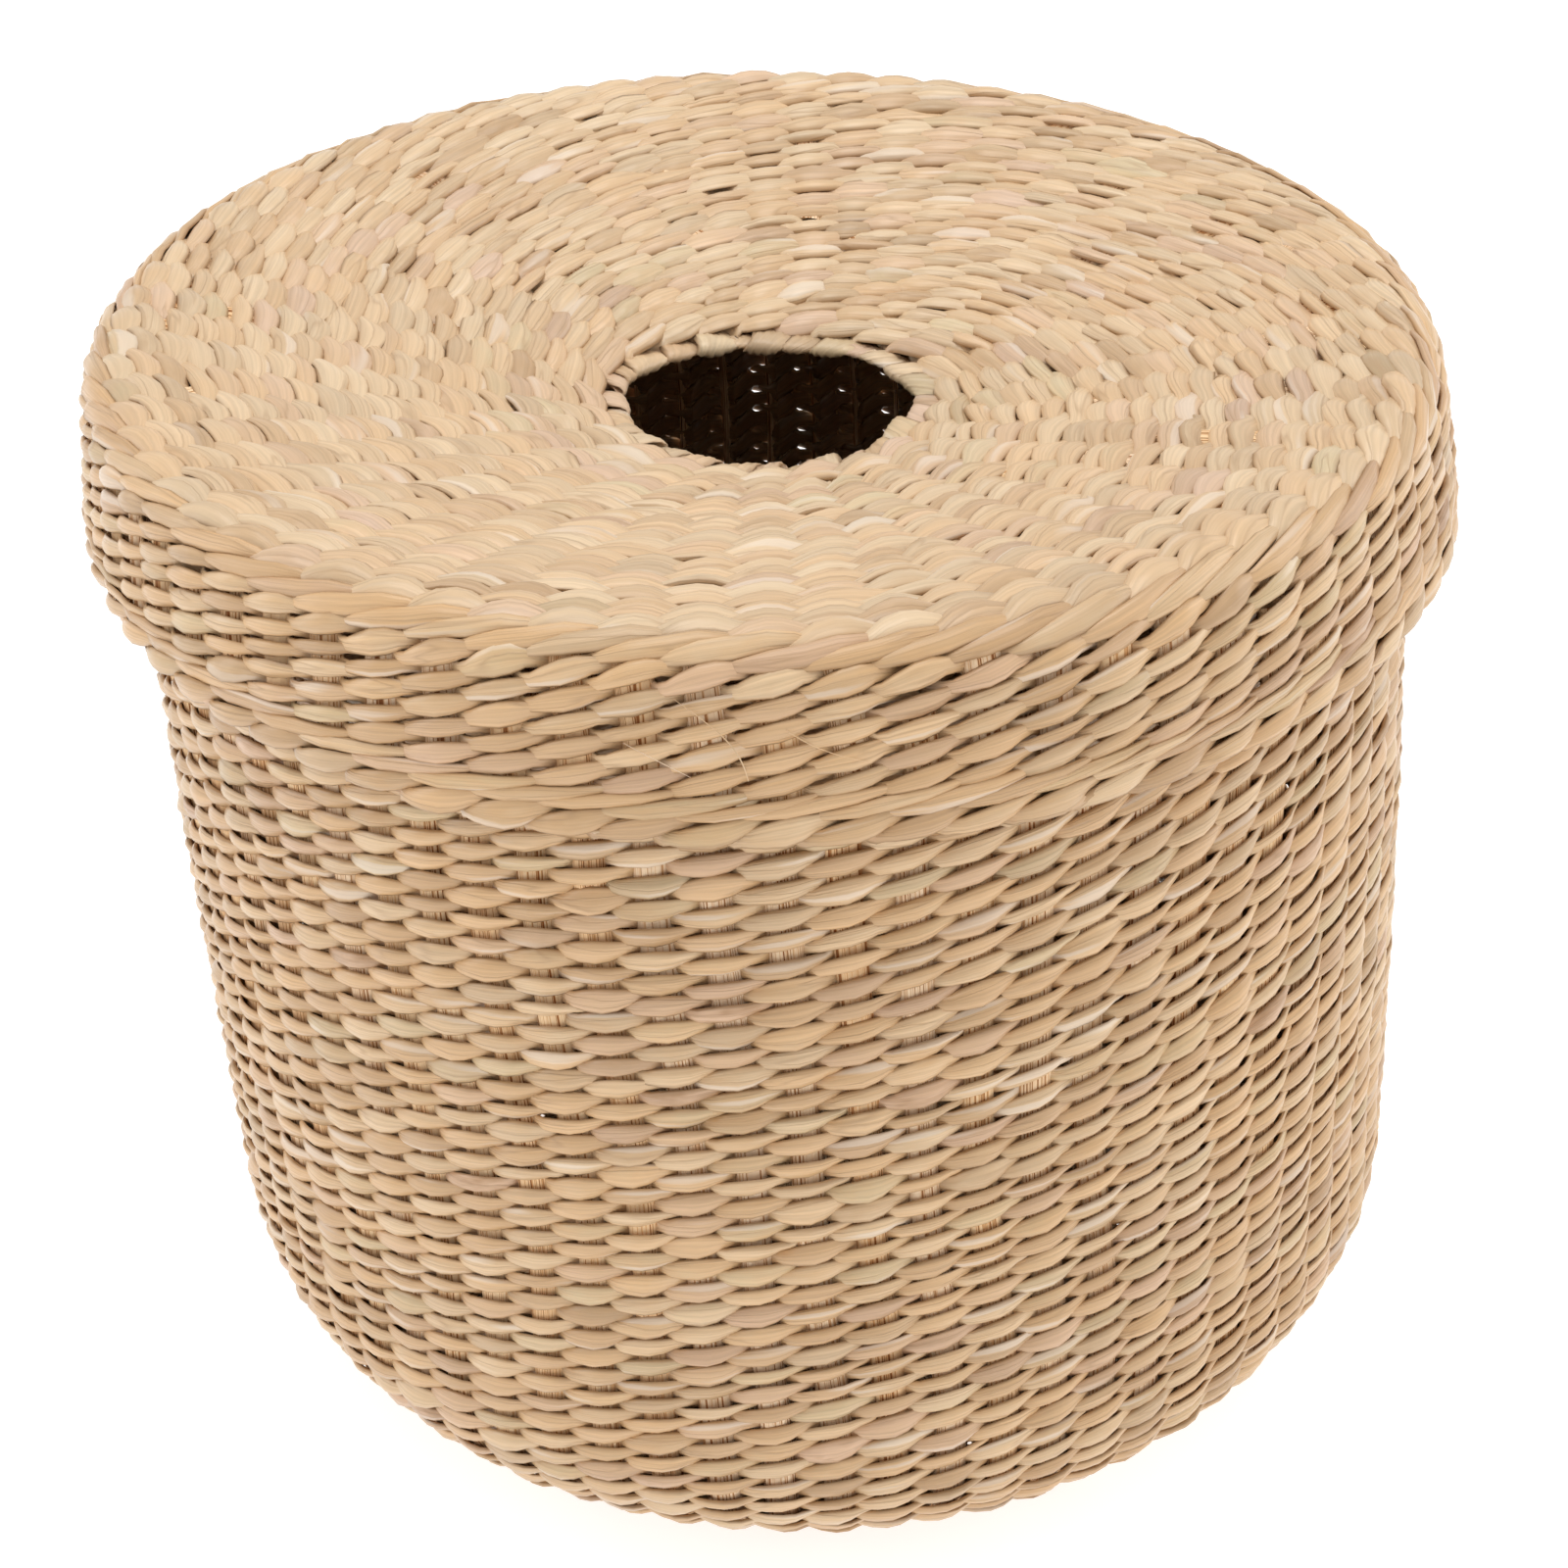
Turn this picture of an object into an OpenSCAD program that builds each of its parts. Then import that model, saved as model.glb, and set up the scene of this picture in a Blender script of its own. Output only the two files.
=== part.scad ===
// Round twined seagrass basket with a lift-off lid that has a round opening in its dished top.
// Flat stakes stand in the middle of every wall. Rounds of twining close over them on both faces.
// Origin: centre of the base, on the plane it stands on. +Z is up.

/* [Basket] */
// Largest outside diameter of the basket body
body_d = 248.6; // [244:0.2:250]
// Height of the basket body at its rim
body_h = 212.3; // [210:0.1:212.5]
// Outside radius of the turn from the base into the side
heel_r = 34; // [28:1:40]
// Radius of the barrel curve of the side, seen from the side
barrel_r = 3600; // [3000:100:5000]

/* [Lid] */
// Outside diameter of the lid at its lower edge
lid_d = 261.5; // [260:0.5:264]
// Height of the lid's crest above the ground
lid_top_z = 218; // [217.8:0.1:220]
// Height of the lid's lower edge above the ground
lid_edge_z = 184.4; // [180:0.2:188]
// Radius of the crest where the top turns into the skirt
crest_radius = 117.1; // [117:0.1:117.6]
// Outside radius of the lid's shoulder
shoulder_r = 9; // [9:0.1:9.4]
// Slope of the dished top, down towards the opening
dish_angle = 12.5; // [6:0.5:14]
// Diameter of the opening in the lid
opening_d = 55; // [48:1:60]

/* [Weave] */
// Width of a stake
stake_w = 5; // [4:0.1:5.2]
// Thickness of a stake
stake_t = 1.2; // [0.8:0.1:1.3]
// Thickness of the twining on one face of the wall
weft_t = 1.8; // [1.4:0.1:1.8]
// Rounds of twining on the base
base_round_count = 12; // [9:3:12]
// Rounds of twining on the heel and the side
side_round_count = 45; // [30:15:45]
// Rounds of twining on the lid's top
top_round_count = 20; // [15:5:20]
// Rounds of twining on the lid's skirt
skirt_round_count = 6; // [2:2:6]

/* [Motion] */
// Shows the lid lifted by this much
lid_lift = 0; // [0:1:120]

/* [Hidden] */
$fn = 96;

// Wall build-up. The stake lies on the mid-surface, and face_gap clears its flat edges.
face_gap = 0.1;
face_in = stake_t / 2 + face_gap;
half_wall = face_in + weft_t;
row_gap = 0.12;
// How much of a round's thickness is its crown, and the flats that the crown is made of
crown_share = 0.6;
crown_steps = 6;

// Body mid-surface: a flat base, the heel's arc, and the barrel curve of the side.
foot_lift = 0.6;
base_mid_z = foot_lift + half_wall;
heel_mid_r = heel_r - half_wall;
heel_centre = [body_d / 2 - heel_r, base_mid_z + heel_mid_r];
heel_length = heel_mid_r * PI / 2;
wall_mid_r = body_d / 2 - half_wall;
rim_z = body_h - half_wall;
twining_top_z = rim_z - half_wall;
side_length = barrel_r * asin((twining_top_z - heel_centre[1]) / barrel_r) * PI / 180;

// Lid mid-surface: the dished cone, the shoulder's arc, and the straight flared skirt.
shoulder_mid_r = shoulder_r - half_wall;
shoulder_centre = [crest_radius, lid_top_z - shoulder_r];
opening_r = opening_d / 2;
border_w = 4.2;
cone_end = shoulder_centre + shoulder_mid_r * [-sin(dish_angle), cos(dish_angle)];
cone_length = (cone_end[0] - opening_r) / cos(dish_angle);
// The flare is the tilt that takes the skirt from the shoulder to the lid's edge.
edge_run = lid_d / 2 - shoulder_centre[0];
edge_drop = shoulder_centre[1] - lid_edge_z;
flare = atan(edge_run / edge_drop) - asin(shoulder_r / norm([edge_run, edge_drop]));
shoulder_length = shoulder_mid_r * (90 + dish_angle - flare) * PI / 180;
skirt_length = sqrt(pow(norm([edge_run, edge_drop]), 2) - pow(shoulder_r, 2));

// Distances along the mid-surfaces where the parts of the weave begin and end
cross_r = 23.3;
base_first = 24;
foot_w = 6;
foot_mid = heel_centre[0] - foot_w / 2;
side_first = heel_centre[0] + 0.1;
side_end = heel_centre[0] + heel_length + side_length;
wale_h = 5.2;
border_d = 2 * half_wall;
top_first = border_w + 0.1;
shoulder_mid = cone_length + shoulder_length / 2;
top_end = shoulder_mid - wale_h / 2;
skirt_end = cone_length + shoulder_length + skirt_length;
skirt_wale_mid = skirt_end - border_d - wale_h / 2;
skirt_first = shoulder_mid + wale_h / 2;
skirt_last = skirt_wale_mid - wale_h / 2;

// Stakes: twelve equal sectors, each with two stakes at the centre and one more at each insertion.
sectors = 12;
sector_slots = 6;
slot_angle = 360 / sectors / sector_slots;
slots_by_set = [[0, 3], [5], [1], [4], [2]];
set_count = len(slots_by_set);
base_insert_r = [0, 38, 54, 70, 82];
lid_insert_r = [0, 41, 62, 84, 105];
spread_run = 4;
stake_start_gap = 1.2;
// Straight steps along a bend and along the barrel curve, and the overlap of a stake's two runs
bend_steps = 10;
barrel_steps = 5;
join = 0.5;

// [radius, height, angle of the outward normal] at distance s along the body's mid-surface
function body_at(s) =
    s <= heel_centre[0] ? [s, base_mid_z, -90]
    : s <= heel_centre[0] + heel_length ? heel_at((s - heel_centre[0]) / heel_mid_r * 180 / PI - 90)
    : barrel_at((s - heel_centre[0] - heel_length) / barrel_r * 180 / PI);
function heel_at(a) = [heel_centre[0] + heel_mid_r * cos(a), heel_centre[1] + heel_mid_r * sin(a), a];
function barrel_at(a) =
    [wall_mid_r - barrel_r * (1 - cos(a)), heel_centre[1] + barrel_r * sin(a), a];

// The same for the lid, from the opening's edge outwards and down the skirt
function lid_at(s) =
    s <= cone_length ? cone_at(s - cone_length)
    : s <= cone_length + shoulder_length
        ? shoulder_at(90 + dish_angle - (s - cone_length) / shoulder_mid_r * 180 / PI)
    : skirt_at(s - cone_length - shoulder_length);
function cone_at(d) =
    [cone_end[0] + d * cos(dish_angle), cone_end[1] + d * sin(dish_angle), 90 + dish_angle];
function shoulder_at(a) = concat(shoulder_centre + shoulder_mid_r * [cos(a), sin(a)], [a]);
function skirt_at(d) =
    concat(shoulder_centre + shoulder_mid_r * [cos(flare), sin(flare)] + d * [sin(flare), -cos(flare)],
        [flare]);

// A point of the (radius, height) plane at an offset from the mid-surface, outwards positive
function off(p, d) = [p[0] + d * cos(p[2]), p[1] + d * sin(p[2])];

// Angle of a stake in its sector at radius r. The stakes present there share the sector equally.
function set_of(slot) = [for (i = [0:set_count - 1]) if (len(search(slot, slots_by_set[i])) > 0) i][0];
function sets_in(r, radii) = len([for (x = radii) if (x <= r) x]);
function slots_present(count) =
    [for (slot = [0:sector_slots - 1]) if (set_of(slot) < count) slot];
function place(slot, present) = search(slot, present)[0];
function stage_angle(slot, count) =
    let (present = slots_present(max(count, set_of(slot) + 1)))
        place(slot, present) * sector_slots * slot_angle / len(present);

// One round's section: flat against the stakes and crowned on the face that shows
module strand_section(h) {
    crown = weft_t * crown_share;
    face = [for (i = [0:crown_steps]) let (across = 2 * i / crown_steps - 1)
        [half_wall - crown * across * across, across * h / 2]];
    polygon(concat([[face_in, -h / 2]], face, [[face_in, h / 2]]));
}

// A closed round of one section at a place on a mid-surface
module round_at(p) {
    rotate_extrude() translate([p[0], p[1]]) rotate(p[2]) children();
}

// Rounds first to last of total rounds that fill the run from s0 to s1 of the body
module body_rounds(s0, s1, total, first, last) {
    pitch = (s1 - s0) / total;
    color("burlywood") for (i = [first:last])
        round_at(body_at(s0 + (i - 0.5) * pitch)) strand_section(pitch - row_gap);
}

module lid_rounds(s0, s1, total, first, last) {
    pitch = (s1 - s0) / total;
    color("burlywood") for (i = [first:last])
        round_at(lid_at(s0 + (i - 0.5) * pitch)) strand_section(pitch - row_gap);
}

// A closed border of folded stake ends, as round in section as the wall is thick
module border_at(p) {
    color("tan") round_at(p) circle(d = border_d);
}

// The inner face of the weave, as one plain shell of revolution along a run of a mid-surface
module inner_face(points) {
    color("wheat") rotate_extrude()
        polygon(concat([for (p = points) off(p, -face_in)],
            [for (i = [len(points) - 1:-1:0]) off(points[i], -half_wall)]));
}

// A stake's outline in plan over a flat or conical run, in the frame of its final angle
module spread_outline(slot, set, radii, r0, r1, stretch) {
    turns = [for (i = [set + 1:1:set_count - 1]) for (side = [-1, 1]) radii[i] + side * spread_run];
    line = [for (r = concat([r0], turns, [r1])) let (a = stage_angle(slot,
            sets_in(r - spread_run + 0.01, radii)) - slot * slot_angle)
        [r * cos(a), r * sin(a)]];
    shape = [for (p = line) [(p[0] - r1) * stretch, p[1]]];
    polygon(concat([for (p = shape) p + [0, stake_w / 2]],
        [for (i = [len(shape) - 1:-1:0]) shape[i] - [0, stake_w / 2]]));
}

// A stake's bent run, as a strip that follows the mid-surface
module bent_strip(points) {
    rotate([90, 0, 0]) linear_extrude(stake_w, center = true)
        polygon(concat([for (p = points) off(p, stake_t / 2)],
            [for (i = [len(points) - 1:-1:0]) off(points[i], -stake_t / 2)]));
}

module body_stake(slot, set) {
    start_r = max(base_insert_r[set], cross_r + stake_start_gap);
    heel_run = [for (i = [0:bend_steps]) heel_centre[0] + heel_length * i / bend_steps];
    side_run = [for (i = [1:barrel_steps]) side_end - side_length * (1 - i / barrel_steps)];
    bend_points = [for (s = concat([heel_centre[0] - join], heel_run, side_run)) body_at(s)];
    union() {
        translate([heel_centre[0], 0, base_mid_z - stake_t / 2])
            linear_extrude(stake_t)
                spread_outline(slot, set, base_insert_r, start_r, heel_centre[0], 1);
        bent_strip(bend_points);
    }
}

module lid_stake(slot, set) {
    start_r = max(lid_insert_r[set], opening_r + border_w);
    shoulder_run = [for (i = [0:bend_steps]) cone_length + shoulder_length * i / bend_steps];
    bend_points = [for (s = concat([cone_length - join], shoulder_run, [skirt_end - border_d])) lid_at(s)];
    union() {
        translate([cone_end[0], 0, cone_end[1]]) rotate([0, -dish_angle, 0])
            translate([0, 0, -stake_t / 2]) linear_extrude(stake_t)
                spread_outline(slot, set, lid_insert_r, start_r, cone_end[0], 1 / cos(dish_angle));
        bent_strip(bend_points);
    }
}

// All the stakes of set k, round the whole basket or lid
module body_stakes(k) {
    color("peru") for (sector = [0:sectors - 1], slot = slots_by_set[k - 1])
        rotate([0, 0, (sector * sector_slots + slot) * slot_angle]) body_stake(slot, k - 1);
}

module lid_stakes(k) {
    color("peru") for (sector = [0:sectors - 1], slot = slots_by_set[k - 1])
        rotate([0, 0, (sector * sector_slots + slot) * slot_angle]) lid_stake(slot, k - 1);
}

// One layer of the starting cross: six strips side by side, trimmed to a disc
module base_cross(layer) {
    strips = 6;
    strip_pitch = stake_w + 0.2;
    color("peru") translate([0, 0, base_mid_z - stake_t + layer * stake_t]) rotate([0, 0, 90 * layer])
        intersection() {
            cylinder(r = cross_r, h = stake_t);
            for (i = [0:strips - 1])
                translate([-cross_r, (i - (strips - 1) / 2) * strip_pitch - stake_w / 2, 0])
                    cube([2 * cross_r, stake_w, stake_t]);
        }
}

// The wale that the basket stands on: a flat-footed ring under the edge of the base
module foot_wale() {
    top = base_mid_z - face_in;
    color("burlywood") rotate_extrude() translate([foot_mid, 0]) {
        translate([-foot_w / 2, top / 2]) square([foot_w, top / 2]);
        translate([-foot_w / 2 + top / 2, 0]) square([foot_w - top, top]);
        for (side = [-1, 1]) translate([side * (foot_w - top) / 2, top / 2]) circle(d = top);
    }
}

// A three-strand wale on the outside of the lid
module lid_wale(s) {
    color("burlywood") round_at(lid_at(s)) strand_section(wale_h - row_gap);
}

module base_rounds(k) {
    per = base_round_count / 3;
    body_rounds(base_first, foot_mid - foot_w / 2, base_round_count, (k - 1) * per + 1, k * per);
}

module side_rounds(k) {
    per = side_round_count / 15;
    body_rounds(side_first, side_end, side_round_count, (k - 1) * per + 1, k * per);
}

module lid_top_rounds(k) {
    per = top_round_count / 5;
    lid_rounds(top_first, top_end, top_round_count, (k - 1) * per + 1, k * per);
}

module lid_skirt_rounds(k) {
    per = skirt_round_count / 2;
    lid_rounds(skirt_first, skirt_last, skirt_round_count, (k - 1) * per + 1, k * per);
}

module base_weft_inside() {
    inner_face([for (s = [base_first, heel_centre[0]]) body_at(s)]);
}

module heel_weft_inside() {
    inner_face([for (i = [0:bend_steps]) body_at(heel_centre[0] + heel_length * i / bend_steps)]);
}

module side_weft_inside() {
    inner_face([for (i = [0:barrel_steps]) body_at(side_end - side_length * (1 - i / barrel_steps))]);
}

module lid_top_weft_under() {
    inner_face([for (s = [top_first, cone_length]) lid_at(s)]);
}

module lid_skirt_weft_inside() {
    shoulder_run = [for (i = [0:bend_steps]) cone_length + shoulder_length * i / bend_steps];
    inner_face([for (s = concat(shoulder_run, [skirt_end - border_d])) lid_at(s)]);
}

module rim_border() {
    border_at(barrel_at(asin((rim_z - heel_centre[1]) / barrel_r)));
}

module skirt_border() {
    border_at(lid_at(skirt_end - border_d / 2));
}

// The opening's border, a ring with rounded edges whose inner wall is the opening itself
module opening_border() {
    straight = border_d - border_w;
    color("tan") rotate_extrude() translate([opening_r + border_w / 2, cone_at(-cone_length)[1]]) {
        square([border_w, straight], center = true);
        for (side = [-1, 1]) translate([0, side * straight / 2]) circle(d = border_w);
    }
}

module on_lid() {
    translate([0, 0, lid_lift]) children();
}

base_cross(0);  // base_cross_lower
base_cross(1);  // base_cross_upper
base_rounds(1);  // base_rounds_1
base_rounds(2);  // base_rounds_2
base_rounds(3);  // base_rounds_3
base_weft_inside();
foot_wale();
heel_weft_inside();
side_weft_inside();
rim_border();
body_stakes(1);  // body_stakes_1
body_stakes(2);  // body_stakes_2
body_stakes(3);  // body_stakes_3
body_stakes(4);  // body_stakes_4
body_stakes(5);  // body_stakes_5
side_rounds(1);  // side_rounds_01
side_rounds(2);  // side_rounds_02
side_rounds(3);  // side_rounds_03
side_rounds(4);  // side_rounds_04
side_rounds(5);  // side_rounds_05
side_rounds(6);  // side_rounds_06
side_rounds(7);  // side_rounds_07
side_rounds(8);  // side_rounds_08
side_rounds(9);  // side_rounds_09
side_rounds(10);  // side_rounds_10
side_rounds(11);  // side_rounds_11
side_rounds(12);  // side_rounds_12
side_rounds(13);  // side_rounds_13
side_rounds(14);  // side_rounds_14
side_rounds(15);  // side_rounds_15
on_lid() opening_border();
on_lid() lid_top_rounds(1);  // lid_top_rounds_1
on_lid() lid_top_rounds(2);  // lid_top_rounds_2
on_lid() lid_top_rounds(3);  // lid_top_rounds_3
on_lid() lid_top_rounds(4);  // lid_top_rounds_4
on_lid() lid_top_rounds(5);  // lid_top_rounds_5
on_lid() lid_top_weft_under();
on_lid() lid_wale(shoulder_mid);  // shoulder_wale
on_lid() lid_skirt_rounds(1);  // lid_skirt_rounds_1
on_lid() lid_skirt_rounds(2);  // lid_skirt_rounds_2
on_lid() lid_skirt_weft_inside();
on_lid() lid_wale(skirt_wale_mid);  // skirt_wale
on_lid() skirt_border();
on_lid() lid_stakes(1);  // lid_stakes_1
on_lid() lid_stakes(2);  // lid_stakes_2
on_lid() lid_stakes(3);  // lid_stakes_3
on_lid() lid_stakes(4);  // lid_stakes_4
on_lid() lid_stakes(5);  // lid_stakes_5
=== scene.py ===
"""A round twined seagrass basket and its lift-off lid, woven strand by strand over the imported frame."""

import math

import bpy
import numpy as np
from mathutils import Matrix, Vector


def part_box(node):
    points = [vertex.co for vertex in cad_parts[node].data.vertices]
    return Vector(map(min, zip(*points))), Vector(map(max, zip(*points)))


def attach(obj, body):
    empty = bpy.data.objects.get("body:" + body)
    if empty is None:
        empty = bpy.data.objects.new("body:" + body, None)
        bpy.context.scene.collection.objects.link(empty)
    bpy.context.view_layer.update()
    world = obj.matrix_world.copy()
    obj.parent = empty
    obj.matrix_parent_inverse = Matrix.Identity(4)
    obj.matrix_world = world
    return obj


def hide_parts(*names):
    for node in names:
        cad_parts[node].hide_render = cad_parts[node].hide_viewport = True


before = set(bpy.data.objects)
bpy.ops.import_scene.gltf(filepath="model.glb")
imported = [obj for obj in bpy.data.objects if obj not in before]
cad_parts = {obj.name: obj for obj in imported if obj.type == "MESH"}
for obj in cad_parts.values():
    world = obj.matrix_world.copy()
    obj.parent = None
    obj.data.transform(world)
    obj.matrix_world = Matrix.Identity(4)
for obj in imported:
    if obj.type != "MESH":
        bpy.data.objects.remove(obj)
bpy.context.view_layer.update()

MM = 0.001
TAU = 2 * math.pi
rng = np.random.default_rng(7)


# ---------------------------------------------------------------- walls, read from the frame

def low(node):
    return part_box(node)[0]


def high(node):
    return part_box(node)[1]


def arc(centre, radius, start, end, steps=40):
    """Points of a circular arc in the (radius, height) plane, from angle start to end."""
    turn = np.linspace(start, end, steps)
    return np.stack([centre[0] + radius * np.cos(turn), centre[1] + radius * np.sin(turn)], axis=1)


class Wall:
    """The middle of a wall's thickness: a path in the (radius, height) plane, followed by distance."""

    def __init__(self, points, side, rise):
        """side turns the path's direction into the outward normal, and rise is the way strands climb."""
        self.points = np.asarray(points)
        step = np.diff(self.points, axis=0)
        length = np.hypot(step[:, 0], step[:, 1])
        self.s = np.concatenate([[0], np.cumsum(length)])
        self.end = self.s[-1]
        tangent = np.gradient(self.points, self.s, axis=0)
        tangent /= np.linalg.norm(tangent, axis=1)[:, None]
        self.tangent = tangent
        self.normal = side * np.stack([tangent[:, 1], -tangent[:, 0]], axis=1)
        self.rise = rise

    def at(self, s, depth):
        """(radius, height) at distance s, moved outwards by depth. Past an end the wall runs on straight."""
        inside = np.clip(s, 0, self.end)
        past = s - inside
        place = []
        for axis in range(2):
            middle = np.interp(inside, self.s, self.points[:, axis])
            along = np.interp(inside, self.s, self.tangent[:, axis])
            outward = np.interp(inside, self.s, self.normal[:, axis])
            place.append(middle + past * along + depth * outward)
        return place

    def radius(self, s):
        return self.at(s, 0.0)[0]

    def ripple(self, s, angle):
        """How far the wall is pulled out of round at a place."""
        return 0.0


class Lid(Wall):
    """The lid's wall, whose opening is pulled out of round by a millimetre or two."""

    def ripple(self, s, angle):
        fade = np.clip(1 - s / (30 * MM), 0, 1) ** 2
        waves = 1.2 * np.cos(2 * angle + 0.3) + 0.9 * np.cos(3 * angle - 1.2) + 0.5 * np.cos(7 * angle)
        return MM * fade * waves


half_wall = (high("rim_border").z - low("rim_border").z) / 2
STAKE_T = 1.2 * MM

# Body: flat base, round heel, barrel side
base_z = high("base_cross_lower").z
heel_r = high("base_weft_inside").x
heel_z = low("side_weft_inside").z
heel_mid = heel_z - base_z
wall_r = heel_r + heel_mid
rim_z = high("rim_border").z - half_wall
rim_r = high("rim_border").x - half_wall
barrel = ((rim_z - heel_z) ** 2 + (wall_r - rim_r) ** 2) / (2 * (wall_r - rim_r))
cross_r = high("base_cross_lower").x

body_path = np.concatenate([
    [[0.0, base_z]],
    arc((heel_r, heel_z), heel_mid, -math.pi / 2, 0),
    arc((wall_r - barrel, heel_z), barrel, 0, math.asin((rim_z - heel_z) / barrel))[1:],
])
body = Wall(body_path, side=1, rise=1)

# Lid: dished cone, round shoulder, flared skirt
SHOULDER_R = 6.5 * MM
BORDER_W = 4.2 * MM
SLOPE_STEPS = 20
opening_r = high("opening_border").x - BORDER_W
opening_z = (high("opening_border").z + low("opening_border").z) / 2
cone_r = high("lid_top_weft_under").x
crest_z = high("lid_stakes_1").z - STAKE_T / 2
skirt_edge = (high("skirt_border").x - half_wall, low("skirt_border").z + half_wall)


def lid_points():
    """The lid's path, its dish's slope and its skirt's flare. Slope and shoulder settle together."""
    centre = [cone_r, crest_z - SHOULDER_R]
    slope = math.atan2(centre[1] - opening_z, cone_r - opening_r)
    for _ in range(SLOPE_STEPS):
        start = (centre[0] - SHOULDER_R * math.sin(slope), centre[1] + SHOULDER_R * math.cos(slope))
        slope = math.atan2(start[1] - opening_z, start[0] - opening_r)
        centre[0] = cone_r + SHOULDER_R * math.sin(slope)
    run = (skirt_edge[0] - centre[0], centre[1] - skirt_edge[1])
    flare = math.atan2(run[0], run[1]) - math.asin(SHOULDER_R / math.hypot(*run))
    shoulder = arc(centre, SHOULDER_R, math.pi / 2 + slope, flare)
    return np.concatenate([[[opening_r, opening_z]], shoulder, [skirt_edge]]), slope, flare


lid_path, dish, flare = lid_points()
lid = Lid(lid_path, side=-1, rise=-1)
cone_length = float(np.hypot(*(lid_path[1] - lid_path[0])))
shoulder_length = SHOULDER_R * (math.pi / 2 + dish - flare)


# ---------------------------------------------------------------- the basket's slight lean

# Slopes of the lean to the left and to the back, and of the rim and the lid down to the right. The last
# fades in from the floor up to a height.
LEAN_LEFT, LEAN_BACK, RIM_DOWN = 0.0211, 0.0052, 0.0236
FULL_TILT_Z = 0.16


def settle(points):
    """The whole basket leans and sags a little, as a hand-woven one does. Both bodies follow one field."""
    x, y, z = points[..., 0], points[..., 1], points[..., 2]
    share = np.clip(z / FULL_TILT_Z, 0, 1)
    share = share * share * (3 - 2 * share)
    out = np.empty_like(points)
    out[..., 0] = x - LEAN_LEFT * z
    out[..., 1] = y + LEAN_BACK * z
    out[..., 2] = z - RIM_DOWN * x * share
    return out


# ---------------------------------------------------------------- meshes from swept sections

def grid_faces(rings, sides, closed):
    """Quads that join rings of sides points, and the last ring to the first if closed."""
    ring = np.arange(rings if closed else rings - 1)[:, None]
    side = np.arange(sides)[None, :]
    here, there = ring * sides, ((ring + 1) % rings) * sides
    turn = (side + 1) % sides
    return np.stack([here + side, here + turn, there + turn, there + side], axis=-1).reshape(-1, 4)


class Weave:
    """Collects swept strands, then becomes one mesh object."""

    def __init__(self):
        self.points, self.faces, self.leaf, self.tint = [], [], [], []
        self.count = 0

    def add(self, points, leaf, tint, closed=False):
        """Adds a strip of rings of points, each of shape (rings, sides, values).

        leaf holds (along, across, seed). tint holds three random shares and 1 on the face or 0 on the
        back, for each point or once for the whole strip.
        """
        rings, sides = points.shape[:2]
        faces = grid_faces(rings, sides, closed) + self.count
        self.points.append(points.reshape(-1, 3))
        self.faces.append(faces)
        self.leaf.append(leaf.reshape(-1, 3))
        self.tint.append(np.broadcast_to(tint, (rings, sides, 4)).reshape(-1, 4))
        self.count += rings * sides

    def build(self, name, material):
        """Makes the mesh object."""
        points = settle(np.concatenate(self.points))
        faces = np.concatenate(self.faces)
        mesh = bpy.data.meshes.new(name)
        mesh.vertices.add(len(points))
        mesh.vertices.foreach_set("co", points.ravel())
        mesh.loops.add(faces.size)
        mesh.loops.foreach_set("vertex_index", faces.ravel())
        mesh.polygons.add(len(faces))
        mesh.polygons.foreach_set("loop_start", np.arange(0, faces.size, 4))
        mesh.polygons.foreach_set("use_smooth", np.ones(len(faces), dtype=bool))
        leaf = mesh.attributes.new("leaf", "FLOAT_VECTOR", "POINT")
        leaf.data.foreach_set("vector", np.concatenate(self.leaf).ravel())
        tint = mesh.attributes.new("tint", "FLOAT_COLOR", "POINT")
        tint.data.foreach_set("color", np.concatenate(self.tint).ravel())
        mesh.update(calc_edges=True)
        mesh.validate()
        piece = bpy.data.objects.new(name, mesh)
        bpy.context.scene.collection.objects.link(piece)
        mesh.materials.append(material)
        return piece


# How near a wall's ends its rounds run true, and the radius inside which stakes no longer wander sideways
TRUE_END = 16 * MM
TRUE_R = 20 * MM


def to_space(wall, s, depth, angle):
    """Points in space from distance along a wall, depth out of it and angle round it.

    By hand, rounds drift along the wall and stakes lean round it by about a millimetre.
    """
    free = np.clip(np.minimum(s, wall.end - s) / TRUE_END, 0, 1)
    drift = free * (0.8 * np.sin(3 * angle + s / (29 * MM)) + 0.5 * np.sin(7 * angle - s / (12 * MM)))
    lean = free * (1.3 * np.sin(2 * angle + s / (33 * MM)) + 0.6 * np.sin(5 * angle - s / (15 * MM)))
    radius, height = wall.at(s + drift * MM, depth)
    radius = radius + wall.ripple(s, angle)
    angle = angle + lean * MM / np.maximum(radius, TRUE_R)
    return np.stack([radius * np.cos(angle), radius * np.sin(angle), height], axis=-1)


# Half the width of a leaf as its material sees it, so that its fibres close up where it narrows, and how
# far apart in their noise two leaves may lie
LEAF_HALF = 2 * MM
SEED_SPAN = 50

# A leaf's section: places across it, from the lower edge over the face that shows and back behind
FACE = np.array([-1.0, -0.82, -0.45, 0.0, 0.45, 0.82, 1.0])
BACK = np.array([0.6, 0.0, -0.6])
ACROSS = np.concatenate([FACE, BACK])

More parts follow.
